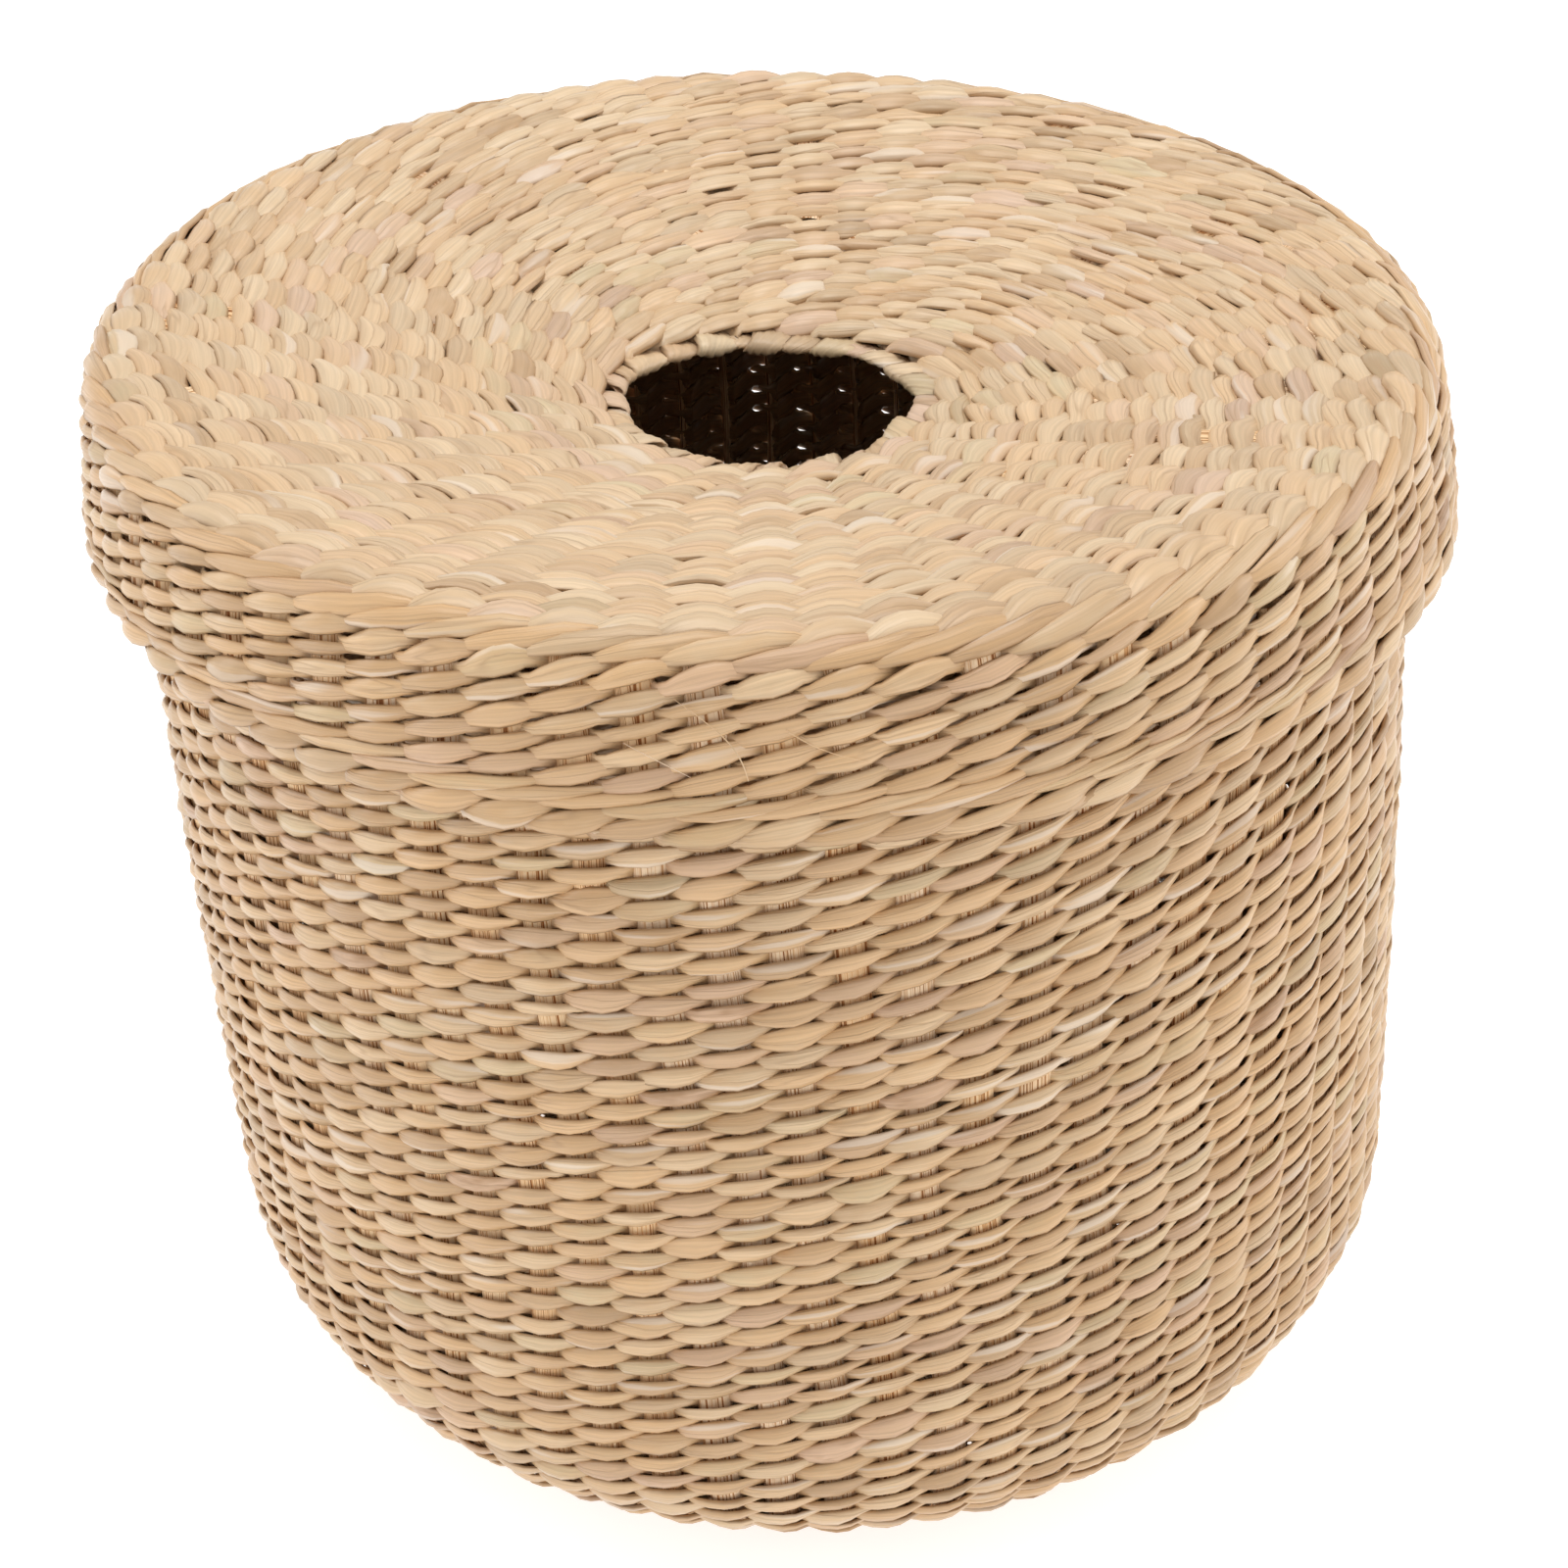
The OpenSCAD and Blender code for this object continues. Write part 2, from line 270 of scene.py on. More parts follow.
# One pass of a strand of a twined round: place in stake spacings from the stake it covers, depth (1 at the
# outer face, -1 at the inner one), climb (1 at the top of the round) and width (1 in full)
TWINED = np.array([
    (-0.92, -0.95, -0.60, 1.20),
    (-0.83, -0.50, -0.88, 1.15),
    (-0.75, 0.05, -1.02, 0.90),
    (-0.64, 0.50, -1.00, 0.64),
    (-0.50, 0.78, -0.86, 0.70),
    (-0.30, 1.08, -0.44, 0.88),
    (-0.02, 1.25, 0.02, 1.08),
    (0.22, 1.08, 0.42, 1.02),
    (0.42, 0.66, 0.78, 0.84),
    (0.58, 0.36, 0.94, 0.84),
    (0.68, 0.06, 1.06, 1.30),
    (0.77, -0.45, 1.00, 1.55),
    (0.92, -0.95, 0.45, 1.35),
    (1.04, -1.00, -0.10, 1.20),
])
# The same for a waled round, whose strands cover two stakes, at 0 and 1, and pass behind the third
WALED = np.array([
    (-0.92, -0.95, -0.60, 1.15),
    (-0.83, -0.50, -0.88, 0.95),
    (-0.75, 0.05, -1.02, 0.60),
    (-0.62, 0.54, -1.00, 0.50),
    (-0.42, 0.90, -0.86, 0.68),
    (0.00, 1.22, -0.50, 0.98),
    (0.50, 1.04, -0.04, 1.04),
    (0.98, 1.16, 0.46, 0.98),
    (1.38, 0.76, 0.82, 0.76),
    (1.58, 0.36, 0.95, 0.60),
    (1.70, 0.02, 0.95, 0.60),
    (1.78, -0.45, 0.85, 0.85),
    (1.92, -0.95, 0.50, 1.15),
    (2.04, -1.00, -0.10, 1.20),
])


def leaf_places(along, across, seed):
    """A strip's leaf values: distance along it (one a ring), place across it, and its seed."""
    distance = np.broadcast_to(along[:, None], across.shape)
    return np.stack([distance, across, np.full(across.shape, seed)], axis=-1)


def leaf_seed():
    return rng.random() * SEED_SPAN


def leaf_tint():
    """A whole strip's tint, all of it face."""
    return np.append(rng.random(3), 1.0)


def angles_at(stakes, u):
    """The angle round the basket at u stakes from the first. stakes holds one whole turn's angles."""
    looped = np.concatenate([stakes, [stakes[0] + TAU]])
    below = np.floor(u).astype(int)
    turn, slot = np.divmod(below, len(stakes))
    return looped[slot] + (looped[slot + 1] - looped[slot]) * (u - below) + turn * TAU


def section(ridge, sharp, skew):
    """Thickness at each place across a leaf, from 1 on its ridge. Every argument holds one value a ring."""
    away = FACE[None, :] - ridge[:, None]
    room = np.where(away > 0, 1 - ridge[:, None], 1 + ridge[:, None])
    face = 1 - np.clip(abs(away) / room, 0, 1) ** sharp[:, None]
    back = np.broadcast_to(-0.65 * (1 - BACK ** 4), (len(ridge), len(BACK)))
    return np.concatenate([face, back], axis=1) * (1 + skew[:, None] * ACROSS[None, :])


def sweep(weave, wall, s, depth, angle, roll, half_width, half_thick, shape, along, seed, tint):
    """Sweeps a leaf's section right round a wall, along rings given by their place on it.

    shape is section()'s result. Every other argument from s on holds one value a ring.
    """
    x = ACROSS[None, :] * half_width[:, None]
    y = shape * half_thick[:, None]
    cos_r, sin_r = np.cos(roll)[:, None], np.sin(roll)[:, None]
    s_at = s[:, None] + wall.rise * (x * cos_r + y * sin_r)
    depth_at = depth[:, None] + y * cos_r - x * sin_r
    points = to_space(wall, s_at, depth_at, np.broadcast_to(angle[:, None], s_at.shape))
    across = np.broadcast_to(ACROSS[None, :] * LEAF_HALF, s_at.shape)
    leaf = np.stack([np.broadcast_to(along[:, None], s_at.shape), across,
                     np.broadcast_to(seed[:, None], s_at.shape)], axis=-1)
    tint = np.repeat(tint[:, None, :], len(ACROSS), axis=1)
    # The back is marked 0, and the material paints it darker as shade.
    tint[:, len(FACE):, 3] = 0.0
    weave.add(points, leaf, tint, closed=True)


def strand_tints(passes):
    """A strand keeps its colour for a while and varies from one pass over a stake to the next."""
    kept_for = 24
    slow = np.repeat(rng.random((max(1, passes // kept_for) + 1, 4)), kept_for, axis=0)[:passes]
    fast = rng.random((passes, 4))
    mix = 0.45 * slow + 0.55 * fast
    mix[:, 3] = 1.0
    return mix


# A strand's half thickness where it has no width, what its full width adds to that, and how far the
# middle of one that lies on the outer face is sunk below its reach
THIN, FULLER, SUNK = 0.42 * MM, 0.36 * MM, 0.75 * MM
# How much passes differ, as standard deviations: width (share), place, depth, and roll (radians)
WIDTH_SPREAD, PLACE_SPREAD, DEPTH_SPREAD, ROLL_SPREAD = 0.12, 0.28 * MM, 0.10 * MM, 0.14
# The share of those in width and place that is held back where a strand is pinched between stakes
HELD = 0.65


def strand_round(weave, wall, s, stakes, passes, strands, width, reach, climb, arch=0.0, pinch=1.0,
                 twist=-0.3, plump=1.0, loose=1.0):
    """One round of twining (two strands) or waling (three). passes says how a strand runs over a stake.

    width is a strand's full width, reach how far the strands stand out from the wall's middle,
    climb how far a strand rises as it crosses a stake, and arch how far its two ends bend down from
    there. pinch scales how much a strand narrows between stakes, twist is how far (in radians) its
    face turns from one end of a pass to the middle, plump how thick and round it is, and loose
    scales every irregularity.
    """
    count = len(stakes) // strands
    place, out, rise, share = (np.tile(column, count) for column in passes.T)
    share = 1 + pinch * (share - 1)
    bend = np.clip(abs(place - (strands - 2) / 2) / (strands - 1) / 0.6, 0, 1) ** 2
    run = np.repeat(np.arange(count), len(passes))
    spacing = TAU * wall.radius(s) / len(stakes)
    shown = np.clip(1.2 * (out + 0.1), 0, 1)
    free = shown * (1 - HELD * bend)
    for strand in range(strands):
        u = place + strands * run + strand

        def vary(size, middle=0.0):
            return middle + size * rng.normal(0, 1, count)[run]

        half_width = width / 2 * share * (1 + loose * vary(WIDTH_SPREAD) * free)
        half_thick = plump * (THIN + FULLER * share)
        middle = s + wall.rise * (climb * rise - arch * bend) + loose * vary(PLACE_SPREAD) * free
        depth = (reach - plump * SUNK) * out + loose * vary(DEPTH_SPREAD) * shown
        roll = twist * rise * (out > 0) + loose * vary(ROLL_SPREAD)
        ridge = np.clip(vary(0.30, 0.25), -0.5, 0.65)
        sharp = np.clip(vary(0.8, 2.8) / plump, 1.4, 4.5)
        shape = section(ridge, sharp, vary(0.2))
        tint = strand_tints(count)[run]
        seed = rng.random(count)[run] * SEED_SPAN
        sweep(weave, wall, middle, depth, angles_at(stakes, u), roll, half_width, half_thick, shape,
              u * spacing, seed, tint)


def squared(share):
    """Makes a circle's sines and cosines turn a tighter corner, as a flat strip does when it is folded."""
    return np.sign(share) * abs(share) ** 0.6


def folded_border(weave, centre, minor, count, width, wrap, span, shingle=0.35 * MM, bulge=0.5 * MM,
                  taper=0.5, ripple=None):
    """Stake ends folded over an edge. Each one winds round the edge while it runs on past its neighbours.

    centre is the edge's (radius, height), minor the border's half sizes there, wrap the angles round
    the edge where a fold starts and ends, span how many stake spacings it runs on, shingle how far
    one side of a fold lies over its neighbour, bulge how far its middle stands up, taper how much it
    narrows at its ends, and ripple how far the edge is out of round at an angle.
    """
    steps = 12
    half_thick = 0.55 * MM
    tucked = 1.1 * MM
    t = np.linspace(0, 1, steps)
    pitch = TAU / count
    mean = (minor[0] + minor[1]) / 2
    for k in range(count):
        start, end = wrap[0] + 0.15 * rng.normal(), wrap[1] + 0.2 * rng.normal()
        angle = pitch * (k + 0.10 * rng.normal() + span * (1 + 0.10 * rng.normal()) * t)
        around = start + (end - start) * t
        lift = 0.35 * MM * rng.normal() + bulge * np.sin(math.pi * t) - tucked * abs(2 * t - 1) ** 4
        run_round = centre[0] * pitch * span
        run_over = (end - start) * mean
        lean = math.atan2(run_over, run_round)
        half = width / 2 * (1 + 0.14 * rng.normal()) * (1 - taper * abs(2 * t - 1) ** 3)
        ridge = np.full(steps, 0.25 * rng.normal()).clip(-0.5, 0.5)
        shape = section(ridge, np.full(steps, 4.0), np.zeros(steps))
        x = ACROSS[None, :] * half[:, None]
        out = lift[:, None] + shape * half_thick + shingle * ACROSS[None, :]
        ring_angle = angle[:, None] + x * math.sin(lean) / centre[0]
        ring_around = around[:, None] - x * math.cos(lean) / mean
        radius = centre[0] + (minor[0] + out) * squared(np.cos(ring_around))
        height = centre[1] + (minor[1] + out) * squared(np.sin(ring_around))
        if ripple:
            radius = radius + ripple(0.0, ring_angle)
        points = np.stack([radius * np.cos(ring_angle), radius * np.sin(ring_angle), height], axis=-1)
        across = np.broadcast_to(ACROSS * LEAF_HALF, x.shape)
        leaf = leaf_places(t * math.hypot(run_round, run_over), across, leaf_seed())
        weave.add(points[:, ::-1], leaf[:, ::-1], leaf_tint())


def loose_fibre(weave, wall, start, end, bow):
    """A hair that has split off a strand and lies over the weave between two (distance, angle) places."""
    t = np.linspace(0, 1, 24)
    s = start[0] + (end[0] - start[0]) * t
    radius = wall.radius(s)
    angle = start[1] + (end[1] - start[1]) * t + bow / radius * np.sin(math.pi * t)
    depth = half_wall + MM * (0.4 + 0.8 * np.sin(math.pi * t))
    half = 0.13 * MM * np.sin(math.pi * np.clip(t, 0.05, 0.95)) ** 0.3
    x = ACROSS[None, :] * half[:, None]
    y = np.concatenate([1 - FACE ** 2, BACK ** 2 - 1])[None, :] * half[:, None]
    points = to_space(wall, np.broadcast_to(s[:, None], x.shape), depth[:, None] + y,
                      angle[:, None] + x / radius[:, None])
    pale = (0.6, 1.0, 0.0, 1.0)
    weave.add(points[:, ::-1], leaf_places(s, x, leaf_seed()), pale)


# ---------------------------------------------------------------- stakes

SECTORS = 12
SLOTS_BY_SET = [[0, 3], [5], [1], [4], [2]]
SLOTS = 6
BASE_INSERTS = np.array([0, 38, 54, 70, 82]) * MM
LID_INSERTS = np.array([0, 41, 62, 84, 105]) * MM
SPREAD = 4 * MM


def set_of(slot):
    return next(i for i, slots in enumerate(SLOTS_BY_SET) if slot in slots)


def staged_angle(slot, sets):
    """A stake's angle in its sector when the first sets of stakes share the sector equally."""
    present = [other for other in range(SLOTS) if set_of(other) < max(sets, set_of(slot) + 1)]
    return present.index(slot) * TAU / SECTORS / len(present)


def stake_angle(slot, radius, inserts):
    """A stake's angle in its sector at a radius, easing over as further stakes come in."""
    angle = staged_angle(slot, 1)
    for i, insert in enumerate(inserts[1:], start=2):
        share = np.clip((radius - insert + SPREAD) / (2 * SPREAD), 0, 1)
        angle = angle + (staged_angle(slot, i) - staged_angle(slot, i - 1)) * share
    return angle


def stakes_at(radius, inserts):
    """Angles of all the stakes present at a radius, once round."""
    slots = [slot for slot in range(SLOTS) if inserts[set_of(slot)] <= radius]
    return np.sort([sector * TAU / SECTORS + float(stake_angle(slot, radius, inserts))
                    for sector in range(SECTORS) for slot in slots])


# Beyond the last insertion every stake is in, at the same angles in both walls
wall_stakes = stakes_at(wall_r, BASE_INSERTS)

# Half a stake's width, and how far it stands out of the wall's middle at each place across it
STAKE_HALF = 3.3 * MM
STAKE_SECTION = np.concatenate([1.5 * MM * (1 - abs(FACE) ** 4), -1.2 * MM * (1 - BACK ** 4)])


def stake_set(weave, wall, inserts, which, start, end):
    """One insertion set's stakes, each a flat strip in the middle of the wall."""
    first = max(start, float(inserts[which]))
    step = 2.5 * MM
    s = np.arange(first, end + step, step)
    s[-1] = end
    radius = wall.radius(s)
    for sector in range(SECTORS):
        for slot in SLOTS_BY_SET[which]:
            wander = 0.25 * MM * np.sin(s / (23 * MM) + rng.random() * TAU)
            angle = sector * TAU / SECTORS + stake_angle(slot, radius, inserts) + wander / radius
            half = STAKE_HALF * (1 + 0.06 * np.sin(s / (9 * MM) + rng.random() * TAU))
            x = ACROSS[None, :] * half[:, None]
            y = np.broadcast_to(STAKE_SECTION, x.shape)
            points = to_space(wall, np.broadcast_to(s[:, None], x.shape), y,
                              angle[:, None] + x / radius[:, None])
            if wall.rise < 0:
                points = points[:, ::-1]
            weave.add(points, leaf_places(s, x, leaf_seed()), leaf_tint())


def cross_strips(weave, layer):
    """One layer of the base's starting cross: strips side by side, tucked under the first round."""
    strips, pitch, rings = 6, 5.2 * MM, 16
    tucked = 3 * MM
    for i in range(strips):
        offset = (i - (strips - 1) / 2) * pitch
        reach = math.sqrt((cross_r + tucked) ** 2 - offset ** 2)
        along = np.linspace(-reach, reach, rings)
        x = np.broadcast_to(ACROSS * pitch / 2, (rings, len(ACROSS)))
        height = base_z + (layer - 0.5) * STAKE_T - 0.45 * np.broadcast_to(STAKE_SECTION, x.shape)
        strip = np.stack([np.broadcast_to(along[:, None], x.shape), offset + x, height], axis=-1)
        if layer:
            strip = strip[..., [1, 0, 2]]
        weave.add(strip, leaf_places(along, x, i * 3.0), leaf_tint())


# ---------------------------------------------------------------- materials

BLACK, WHITE = (0.0, 0.0, 0.0), (1.0, 1.0, 1.0)


def new_material(name):
    """A material, with its node tree and its shader."""
    material = bpy.data.materials.new(name)
    material.use_nodes = True
    return material, material.node_tree, material.node_tree.nodes["Principled BSDF"]


def node(tree, kind, **inputs):
    """A shader node with its settings, and its inputs by name or by number. A socket as a value is linked."""
    made = tree.nodes.new(kind)
    for key, value in inputs.items():
        if hasattr(made, key) and key not in made.inputs:
            setattr(made, key, value)
            continue
        socket = made.inputs[int(key[1:])] if key[0] == "_" else made.inputs[key.replace("_", " ")]
        if isinstance(value, bpy.types.NodeSocket):
            tree.links.new(value, socket)
        else:
            socket.default_value = value
    return made


def ramp(tree, factor, stops):
    made = tree.nodes.new("ShaderNodeValToRGB")
    tree.links.new(factor, made.inputs[0])
    ends = made.color_ramp.elements
    while len(ends) < len(stops):
        ends.new(0.5)
    for end, (place, colour) in zip(ends, stops):
        end.position = place
        end.color = (*colour, 1)
    return made.outputs["Color"]


def mask(tree, factor, start, end):
    """None where factor is at start or less, and whole from end on."""
    return ramp(tree, factor, [(start, BLACK), (end, WHITE)])


def math_node(tree, operation, a, b=0.0, c=0.0):
    return node(tree, "ShaderNodeMath", operation=operation, _0=a, _1=b, _2=c).outputs[0]


def scaled_noise(tree, vector, scale, detail):
    """Noise over the leaf's own coordinates, with its own scale along, across and from leaf to leaf."""
    mapped = node(tree, "ShaderNodeVectorMath", operation="MULTIPLY", _0=vector, _1=scale)
    return node(tree, "ShaderNodeTexNoise", Vector=mapped.outputs[0], Scale=1.0, Detail=detail).outputs[0]


def mixed(tree, factor, a, b, blend="MIX"):
    return node(tree, "ShaderNodeMix", data_type="RGBA", blend_type=blend, _0=factor, _6=a, _7=b).outputs[2]


def multiplied(tree, a, b):
    return mixed(tree, 1.0, a, b, "MULTIPLY")


def painted(tree, colour, where, strength, paint):
    """Lays a paint over a colour where a mask says, at a strength."""
    return mixed(tree, math_node(tree, "MULTIPLY", where, strength), colour, (*paint, 1))


def leaf_inputs(tree):
    """The leaf's coordinates, its three random shares, and 1 on its face or 0 on its back."""
    leaf = node(tree, "ShaderNodeAttribute", attribute_name="leaf").outputs["Vector"]
    tint = node(tree, "ShaderNodeAttribute", attribute_name="tint")
    shares = node(tree, "ShaderNodeSeparateColor", Color=tint.outputs["Color"])
    return leaf, *shares.outputs[:3], tint.outputs["Alpha"]


# Colours laid over a leaf. The edge brown also paints the shade between strands, the crease colour paints
# shade in creases, and the pale patches also paint a sheen.
EDGE_BROWN_AND_GAP_SHADE = (0.36, 0.21, 0.10)
CREASE_SHADE = (0.40, 0.24, 0.12)
WORN_BROWN = (0.42, 0.26, 0.13)
PALE_PATCH_AND_SHEEN = (0.84, 0.75, 0.65)


def leaf_material(name, colours, streak, roughness=0.42, bump=0.6):
    """Dried leaf: a colour for each pass, fibres along it, mottling, brown edges, a satin face, painted shade
    and sheen.
    """
    material, tree, shader = new_material(name)
    leaf, hue, value, stain, face = leaf_inputs(tree)
    fibres = scaled_noise(tree, leaf, (45, 2600, 1), 3)
    mottling = scaled_noise(tree, leaf, (160, 500, 1), 2)
    patches = scaled_noise(tree, leaf, (22, 330, 1), 1)
    across = math_node(tree, "ABSOLUTE", node(tree, "ShaderNodeSeparateXYZ", Vector=leaf).outputs["Y"])
    crease = ramp(tree, patches, [(0.53, BLACK), (0.55, WHITE), (0.57, BLACK)])
    pale_patch_and_sheen = mask(tree, patches, 0.64, 0.69)
    edge = mask(tree, math_node(tree, "DIVIDE", across, LEAF_HALF), 0.74, 0.98)

    drift = math_node(tree, "MULTIPLY_ADD", mottling, 0.22, -0.11)
    colour = ramp(tree, math_node(tree, "ADD", hue, drift), colours)
    shade = ramp(tree, fibres, [(0.25, (1 - streak,) * 3), (0.75, (1 + 0.25 * streak,) * 3)])
    colour = multiplied(tree, colour, shade)
    level = ramp(tree, value, [(0.0, (0.76, 0.73, 0.70)), (0.5, (0.94, 0.93, 0.91)), (1.0, WHITE)])
    colour = multiplied(tree, colour, level)
    # Dark brown laid along the crease lines: painted shade in the creases.
    colour = painted(tree, colour, crease, 0.4, CREASE_SHADE)
    # Pale silvery patches on the leaf, which also stand in for glints: a painted highlight.
    colour = painted(tree, colour, pale_patch_and_sheen, 0.4, PALE_PATCH_AND_SHEEN)
    # Brown edges, darkened also as painted shade where neighbouring strands meet.
    colour = painted(tree, colour, edge, 0.62, EDGE_BROWN_AND_GAP_SHADE)
    colour = painted(tree, colour, mask(tree, stain, 0.66, 0.95), mottling, WORN_BROWN)
    # The back of each strand is darkened: painted shade for the inside of the basket.
    painted_back_shade = ramp(tree, face, [(0.0, (0.66, 0.58, 0.50)), (0.6, WHITE)])
    colour = multiplied(tree, colour, painted_back_shade)
    tree.links.new(colour, shader.inputs["Base Color"])

    rough = ramp(tree, fibres, [(0.2, (roughness + 0.12,) * 3), (0.8, (roughness - 0.08,) * 3)])
    tree.links.new(rough, shader.inputs["Roughness"])
    height = math_node(tree, "ADD", fibres, math_node(tree, "MULTIPLY", mottling, 0.5))
    height = math_node(tree, "SUBTRACT", height, math_node(tree, "MULTIPLY", crease, 0.5))
    relief = node(tree, "ShaderNodeBump", Strength=bump, Distance=0.25 * MM, Height=height)
    tree.links.new(relief.outputs[0], shader.inputs["Normal"])
    shader.inputs["Specular IOR Level"].default_value = 0.5
    shader.inputs["Coat Weight"].default_value = 0.3
    shader.inputs["Coat Roughness"].default_value = 0.2
    return material


def stake_material(name):
    """The stakes are bundles of fine ribs, pale between brown lines."""
    material, tree, shader = new_material(name)
    leaf, hue, *_ = leaf_inputs(tree)
    ribs = scaled_noise(tree, leaf, (12, 3600, 1), 2)
    patches = scaled_noise(tree, leaf, (70, 260, 1), 2)
    pale = ramp(tree, hue, [(0.0, (0.94, 0.64, 0.36)), (0.5, (0.96, 0.70, 0.42)), (1.0, (0.94, 0.72, 0.50))])
    lines = ramp(tree, ribs, [(0.36, (0.30, 0.14, 0.06)), (0.43, (0.80, 0.62, 0.45)), (0.50, WHITE)])
    colour = multiplied(tree, pale, lines)
    colour = painted(tree, colour, mask(tree, patches, 0.45, 0.8), 0.45, (0.40, 0.19, 0.07))
    tree.links.new(colour, shader.inputs["Base Color"])
    shader.inputs["Roughness"].default_value = 0.7
    shader.inputs["Specular IOR Level"].default_value = 0.2
    relief = node(tree, "ShaderNodeBump", Strength=0.6, Distance=0.4 * MM, Height=ribs)
    tree.links.new(relief.outputs[0], shader.inputs["Normal"])
    return material


GOLDEN = (0.76, 0.48, 0.24)
TAN = (0.74, 0.48, 0.26)
CREAM = (0.80, 0.57, 0.34)
GREENISH = (0.72, 0.53, 0.30)
PINKISH = (0.74, 0.48, 0.30)
BROWN = (0.52, 0.30, 0.15)
# Paler colours for the lid's top, where they paint the light that falls on it
PALE_GOLD = (0.79, 0.54, 0.31)
PALE_CREAM = (0.82, 0.62, 0.40)
PALE_GREEN = (0.76, 0.60, 0.37)
PINK_CREAM = (0.77, 0.54, 0.38)

leaf_look = leaf_material("seagrass_strand", [(0.0, BROWN), (0.07, PINKISH), (0.26, TAN), (0.42, GOLDEN),
                                              (0.60, CREAM), (0.74, GOLDEN), (0.90, GREENISH), (1.0, CREAM)],
                          streak=0.22)
# The top of the lid takes a paler copy of the palette: painted light, for the light that falls on it from
# above
lit_top_look = leaf_material("seagrass_lit_top", [(0.0, PINK_CREAM), (0.3, PALE_GOLD), (0.55, PALE_CREAM),
                                               (0.75, PALE_GOLD), (0.9, PALE_GREEN), (1.0, PALE_CREAM)],
                         streak=0.2)
stake_look = stake_material("seagrass_stake")


# ---------------------------------------------------------------- pieces of weave

def woven(name, build, material, body_name, slot, *nodes):
    """One piece, which build adds strips to. It rides on a body and replaces the CAD nodes named last."""
    weave = Weave()
    build(weave)
    piece = weave.build(name, material)
    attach(piece, body_name)
    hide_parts(*nodes)


# Strands of the plain rounds: full width, and how far they stand out from the wall's middle
STRAND_W = 4.1 * MM
REACH = half_wall + 0.1 * MM

# Places of the body's rounds along its wall
BASE_ROUNDS, SIDE_ROUNDS = 12, 45
FOOT_W = 6 * MM
base_first = 22 * MM
foot_mid = high("foot_wale").x - FOOT_W / 2
base_pitch = (foot_mid - FOOT_W / 2 - base_first) / BASE_ROUNDS
side_first = heel_r
side_end = body.end - half_wall
side_pitch = (side_end - side_first) / SIDE_ROUNDS

# How much closer the body's rounds lie where the lid slides over them, and near the floor
RIM_PULL, FOOT_PULL = 0.4 * MM, 0.7 * MM


def pulled_in(s):
    """How much closer a round lies. The rim's pull starts 30 mm below the rim, the foot's ends 16 mm up."""
    rim = RIM_PULL * np.clip((s - side_end + 30 * MM) / (6 * MM), 0, 1)
    foot = FOOT_PULL * np.clip((side_first + 16 * MM - s) / (8 * MM), 0, 1)
    return rim + foot


def places_of(part, first, pitch, rounds):
    """Places of the rounds in one part of a wall, where every part has as many."""
    return first + pitch * (np.arange(rounds) + rounds * part + 0.5)


def twining(wall, places, inserts, width=STRAND_W, **strand):
    """A builder that twines a round at each place along a wall. strand is passed on to strand_round()."""
    strand = {"climb": 1.4 * MM, "arch": 0.3 * MM} | strand

    def build(weave):
        for s in places:
            stakes = stakes_at(float(wall.radius(s)), inserts)
            reach = REACH - (pulled_in(s) if wall is body else 0)
            strand_round(weave, wall, s, stakes, TWINED, 2, width, reach, **strand)
    return build


def waling(wall, place, width, reach, climb):
    """A builder that wales one round where every stake is in."""
    def build(weave):
        strand_round(weave, wall, place, wall_stakes, WALED, 3, width, reach, climb, loose=0.8)
    return build


def border(centre, **fold):
    """A builder of a folded border. fold is passed on to folded_border()."""
    def build(weave):
        folded_border(weave, centre, **fold)
    return build


# ---------------------------------------------------------------- the body's weave

for layer, side in enumerate(("lower", "upper")):
    woven(f"woven_cross_{side}", lambda weave: cross_strips(weave, layer), stake_look, "basket", "stake",
          f"base_cross_{side}")

for part in range(3):
    places = places_of(part, base_first, base_pitch, rounds=4)
    inside = ["base_weft_inside"] if part == 0 else []
    woven(f"woven_base_rounds_{part + 1}", twining(body, places, BASE_INSERTS),
          leaf_look, "basket", "strand", f"base_rounds_{part + 1}", *inside)

for part in range(15):
    places = places_of(part, side_first, side_pitch, rounds=3)
    inside = {0: ["heel_weft_inside"], 4: ["side_weft_inside"]}.get(part, [])
    woven(f"woven_side_rounds_{part + 1:02d}", twining(body, places, BASE_INSERTS),
          leaf_look, "basket", "strand", f"side_rounds_{part + 1:02d}", *inside)

woven("woven_foot_wale",
      waling(body, foot_mid, width=3.4 * MM, reach=half_wall - 0.4 * MM, climb=2.1 * MM),
      leaf_look, "basket", "edge_strand", "foot_wale")
woven("woven_rim_border",
      border((rim_r, rim_z), minor=(1.5 * MM, 1.5 * MM), count=len(wall_stakes), width=6 * MM,
             wrap=(-1.0, 4.0), span=1.6),
      leaf_look, "basket", "edge_strand", "rim_border")

for part in range(5):
    woven(f"woven_body_stakes_{part + 1}",
          lambda weave: stake_set(weave, body, BASE_INSERTS, part, cross_r, body.end),
          stake_look, "basket", "stake", f"body_stakes_{part + 1}")


# ---------------------------------------------------------------- the lid's weave

# Places of the lid's rounds along its wall, between the opening's border and the two wales
TOP_ROUNDS, SKIRT_ROUNDS = 20, 5
WALE_W = 5.2 * MM
top_first = BORDER_W
shoulder_mid = cone_length + shoulder_length / 2
top_last = shoulder_mid - 1.0 * MM
top_pitch = (top_last - top_first) / TOP_ROUNDS
skirt_wale = lid.end - half_wall - WALE_W / 2 + 0.6 * MM
skirt_first = shoulder_mid + 4.8 * MM
skirt_last = skirt_wale - 3.8 * MM
skirt_places = np.linspace(skirt_first, skirt_last, SKIRT_ROUNDS)

